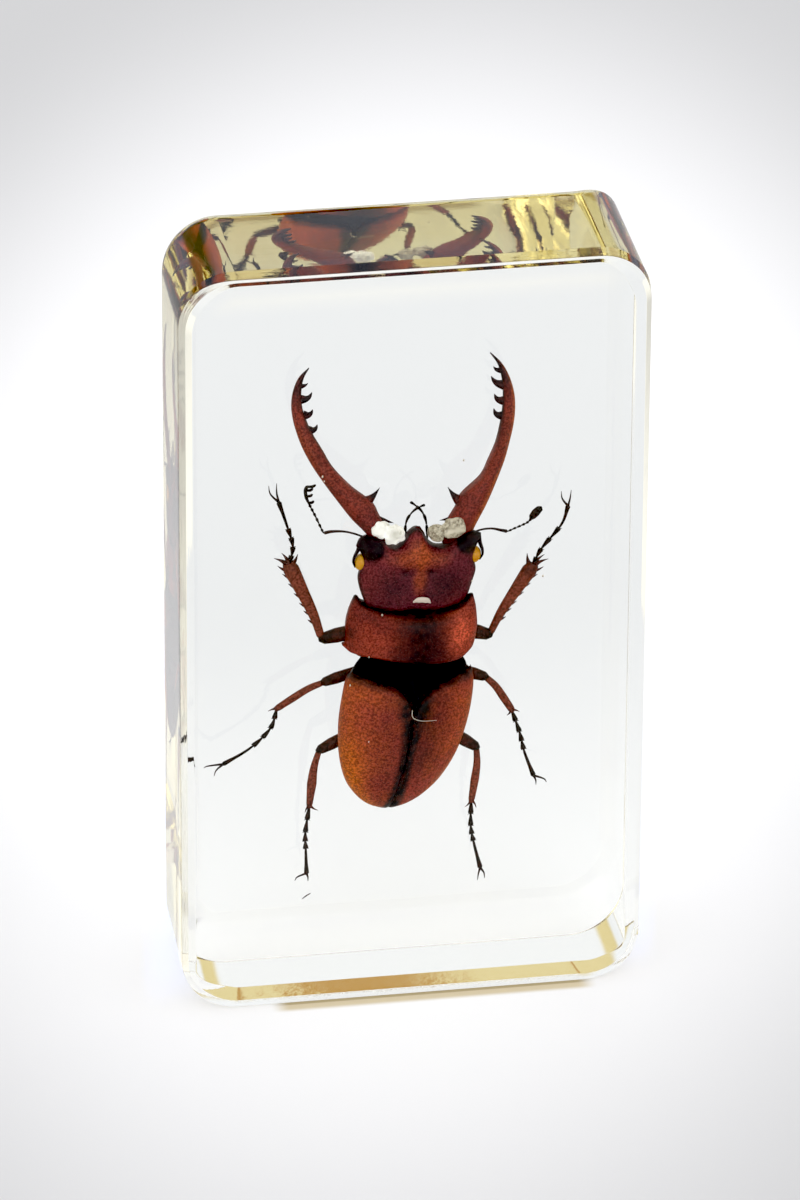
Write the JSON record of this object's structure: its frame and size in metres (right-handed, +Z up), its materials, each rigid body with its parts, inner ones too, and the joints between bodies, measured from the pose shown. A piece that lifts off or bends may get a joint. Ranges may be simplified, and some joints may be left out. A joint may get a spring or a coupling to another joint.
{
  "type": "stag beetle in a clear resin block",
  "caption": "Upright block of clear resin with rounded corners and a bevelled face, holding a dried stag beetle with long toothed mandibles.",
  "frame": {"origin": "middle of the block's footprint, on the surface that it stands on", "axes": "+Z up along the block's long side, -Y out of the viewing face, +X to the viewer's right"},
  "size_m": [0.064, 0.0244, 0.113],
  "materials": {
    "resin": "clear cast resin, polished, faintly yellow through its long way",
    "beetle_shell": "red-brown insect shell, satin, with near-black edges, teeth and feet"
  },
  "bodies": {
    "root": {"resin_front": "resin", "resin_back": "resin", "stag_beetle": "beetle_shell"}
  },
  "joints": []
}
